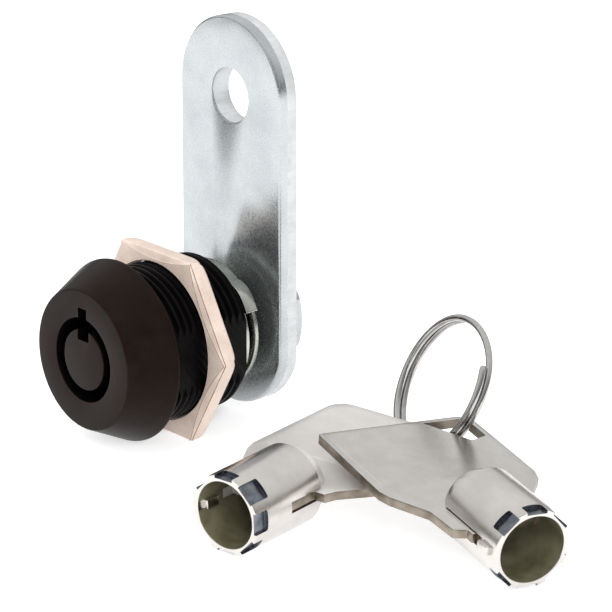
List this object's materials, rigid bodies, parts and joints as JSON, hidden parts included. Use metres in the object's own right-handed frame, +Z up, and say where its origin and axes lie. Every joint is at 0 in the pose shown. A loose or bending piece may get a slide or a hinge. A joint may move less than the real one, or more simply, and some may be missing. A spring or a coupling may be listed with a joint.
{
  "type": "cam lock",
  "caption": "Cam lock with a round pin-tumbler keyway, black cone bezel, threaded barrel, hex nut and flat straight cam, with two round keys on a split ring.",
  "frame": {"origin": "middle of the whole set's footprint, on the surface that the lock and its keys stand on", "axes": "+Z up along the cam, +Y along the lock's axis from the bezel to the cam, +X from the lock towards the keys"},
  "size_m": [0.0794, 0.0406, 0.0484],
  "materials": {
    "black_coat": "satin black e-coat over zinc casting, faint brown tint",
    "nickel": "satin nickel plate, slightly pink",
    "zinc": "bright zinc plated steel, lightly mottled",
    "steel": "bright drawn steel",
    "brass": "machined brass",
    "key_nickel": "satin nickel plate, warm grey",
    "spring_steel": "spring steel wire and strip"
  },
  "bodies": {
    "housing": {"housing": "black_coat", "mounting_nut": "nickel", "pin_sleeve": "brass", "retaining_pin": "steel", "pin_spring_1": "spring_steel", "pin_spring_2": "spring_steel", "pin_spring_3": "spring_steel", "pin_spring_4": "spring_steel", "pin_spring_5": "spring_steel", "pin_spring_6": "spring_steel", "pin_spring_7": "spring_steel"},
    "rotor": {"rotor": "black_coat", "stop_plate": "zinc", "wave_washer": "spring_steel", "thrust_washer": "zinc", "cam_spacer": "black_coat", "cam": "zinc", "lock_washer": "steel", "cam_nut": "zinc"},
    "driver_pin_1": {"driver_pin_1": "steel"},
    "key_pin_1": {"key_pin_1": "brass"},
    "driver_pin_2": {"driver_pin_2": "steel"},
    "key_pin_2": {"key_pin_2": "brass"},
    "driver_pin_3": {"driver_pin_3": "steel"},
    "key_pin_3": {"key_pin_3": "brass"},
    "driver_pin_4": {"driver_pin_4": "steel"},
    "key_pin_4": {"key_pin_4": "brass"},
    "driver_pin_5": {"driver_pin_5": "steel"},
    "key_pin_5": {"key_pin_5": "brass"},
    "driver_pin_6": {"driver_pin_6": "steel"},
    "key_pin_6": {"key_pin_6": "brass"},
    "driver_pin_7": {"driver_pin_7": "steel"},
    "key_pin_7": {"key_pin_7": "brass"},
    "key_ring": {"split_ring": "steel"},
    "key_1": {"key_1_tube": "key_nickel", "key_1_bow": "key_nickel"},
    "key_2": {"key_2_tube": "key_nickel", "key_2_bow": "key_nickel"}
  },
  "joints": [
    {"name": "rotor_turn", "type": "hinge", "parent": "housing", "child": "rotor", "pos_m": [-0.02728, -0.00517, 0.011], "axis": [0, -1, 0], "range_deg": [0, 90]},
    {"name": "driver_pin_1_slide", "type": "slide", "parent": "housing", "child": "driver_pin_1", "axis": [0, 1, 0], "range_m": [-0.002, 0]},
    {"name": "key_pin_1_slide", "type": "slide", "parent": "rotor", "child": "key_pin_1", "axis": [0, 1, 0], "range_m": [-0.002, 0]},
    {"name": "driver_pin_2_slide", "type": "slide", "parent": "housing", "child": "driver_pin_2", "axis": [0, 1, 0], "range_m": [-0.0026, 0]},
    {"name": "key_pin_2_slide", "type": "slide", "parent": "rotor", "child": "key_pin_2", "axis": [0, 1, 0], "range_m": [-0.0026, 0]},
    {"name": "driver_pin_3_slide", "type": "slide", "parent": "housing", "child": "driver_pin_3", "axis": [0, 1, 0], "range_m": [-0.0013, 0]},
    {"name": "key_pin_3_slide", "type": "slide", "parent": "rotor", "child": "key_pin_3", "axis": [0, 1, 0], "range_m": [-0.0013, 0]},
    {"name": "driver_pin_4_slide", "type": "slide", "parent": "housing", "child": "driver_pin_4", "axis": [0, 1, 0], "range_m": [-0.0021, 0]},
    {"name": "key_pin_4_slide", "type": "slide", "parent": "rotor", "child": "key_pin_4", "axis": [0, 1, 0], "range_m": [-0.0021, 0]},
    {"name": "driver_pin_5_slide", "type": "slide", "parent": "housing", "child": "driver_pin_5", "axis": [0, 1, 0], "range_m": [-0.0024, 0]},
    {"name": "key_pin_5_slide", "type": "slide", "parent": "rotor", "child": "key_pin_5", "axis": [0, 1, 0], "range_m": [-0.0024, 0]},
    {"name": "driver_pin_6_slide", "type": "slide", "parent": "housing", "child": "driver_pin_6", "axis": [0, 1, 0], "range_m": [-0.0017, 0]},
    {"name": "key_pin_6_slide", "type": "slide", "parent": "rotor", "child": "key_pin_6", "axis": [0, 1, 0], "range_m": [-0.0017, 0]},
    {"name": "driver_pin_7_slide", "type": "slide", "parent": "housing", "child": "driver_pin_7", "axis": [0, 1, 0], "range_m": [-0.0023, 0]},
    {"name": "key_pin_7_slide", "type": "slide", "parent": "rotor", "child": "key_pin_7", "axis": [0, 1, 0], "range_m": [-0.0023, 0]},
    {"name": "keys_lift", "type": "slide", "parent": "housing", "child": "key_ring", "axis": [0, 0, 1], "range_m": [0, 0.05]},
    {"name": "key_1_fan", "type": "hinge", "parent": "key_ring", "child": "key_1", "pos_m": [0.01211, 0.01123, 0.00617], "axis": [0, 0, 1], "range_deg": [-6, 12]},
    {"name": "key_2_fan", "type": "hinge", "parent": "key_ring", "child": "key_2", "pos_m": [0.01257, 0.01149, 0.00756], "axis": [0, 0, 1], "range_deg": [-6, 45]}
  ],
  "couplings": [
    {"joint": "driver_pin_1_slide", "follows": "driver_pin_2_slide", "ratio": 0.76923},
    {"joint": "key_pin_1_slide", "follows": "driver_pin_2_slide", "ratio": 0.76923},
    {"joint": "key_pin_2_slide", "follows": "driver_pin_2_slide", "ratio": 1},
    {"joint": "driver_pin_3_slide", "follows": "driver_pin_2_slide", "ratio": 0.5},
    {"joint": "key_pin_3_slide", "follows": "driver_pin_2_slide", "ratio": 0.5},
    {"joint": "driver_pin_4_slide", "follows": "driver_pin_2_slide", "ratio": 0.80769},
    {"joint": "key_pin_4_slide", "follows": "driver_pin_2_slide", "ratio": 0.80769},
    {"joint": "driver_pin_5_slide", "follows": "driver_pin_2_slide", "ratio": 0.92308},
    {"joint": "key_pin_5_slide", "follows": "driver_pin_2_slide", "ratio": 0.92308},
    {"joint": "driver_pin_6_slide", "follows": "driver_pin_2_slide", "ratio": 0.65385},
    {"joint": "key_pin_6_slide", "follows": "driver_pin_2_slide", "ratio": 0.65385},
    {"joint": "driver_pin_7_slide", "follows": "driver_pin_2_slide", "ratio": 0.88462},
    {"joint": "key_pin_7_slide", "follows": "driver_pin_2_slide", "ratio": 0.88462}
  ]
}
